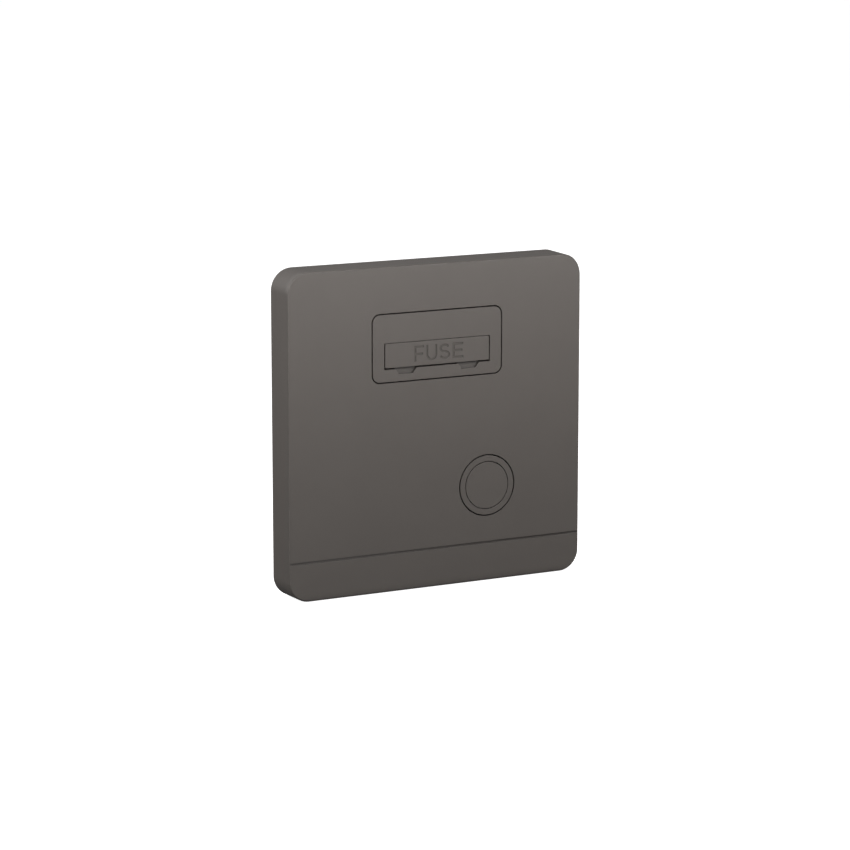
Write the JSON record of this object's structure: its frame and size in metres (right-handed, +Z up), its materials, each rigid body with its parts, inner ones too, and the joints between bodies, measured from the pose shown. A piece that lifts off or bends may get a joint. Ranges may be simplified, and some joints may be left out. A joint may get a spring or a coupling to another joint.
{
  "type": "fused connection unit",
  "caption": "Square flush-mounted fused connection unit with a screwless clip-on cover, a pull-out fuse carrier and a front flex outlet closed by a plug.",
  "frame": {"origin": "middle of the two fixing slots, in the plane of the wall", "axes": "+X to the right of the face, +Y into the wall, +Z up"},
  "size_m": [0.086, 0.0269, 0.086],
  "materials": {
    "cover_plastic": "matte",
    "frame_plastic": "matte",
    "housing_plastic": "satin",
    "ceramic": "matte",
    "plated_caps": "satin",
    "spring_bronze": "satin",
    "brass": "satin",
    "plated_steel": "satin"
  },
  "bodies": {
    "base": {"fuse_housing": "cover_plastic", "outlet_bush": "cover_plastic", "mounting_frame": "frame_plastic", "rear_housing": "housing_plastic", "cord_clamp": "housing_plastic", "feed_fuse_clip": "spring_bronze", "load_fuse_clip": "spring_bronze", "earth_feed_terminal": "brass", "live_feed_terminal": "brass", "neutral_feed_terminal": "brass", "earth_load_terminal": "brass", "neutral_load_terminal": "brass", "live_load_terminal": "brass", "neutral_link": "brass", "earth_link": "brass", "terminal_screws": "plated_steel", "housing_screws": "plated_steel", "cord_clamp_screws": "plated_steel"},
    "cover": {"front_cover": "cover_plastic"},
    "carrier": {"fuse_carrier": "cover_plastic", "fuse_barrel": "ceramic", "fuse_end_caps": "plated_caps"},
    "plug": {"outlet_plug": "cover_plastic"}
  },
  "joints": [
    {"name": "cover_pull", "type": "slide", "parent": "base", "child": "cover", "axis": [0, -1, 0], "range_m": [0, 0.02]},
    {"name": "carrier_pull", "type": "slide", "parent": "base", "child": "carrier", "axis": [0, -1, 0], "range_m": [0, 0.014]},
    {"name": "plug_pull", "type": "slide", "parent": "base", "child": "plug", "axis": [0, -1, 0], "range_m": [0, 0.01]}
  ]
}
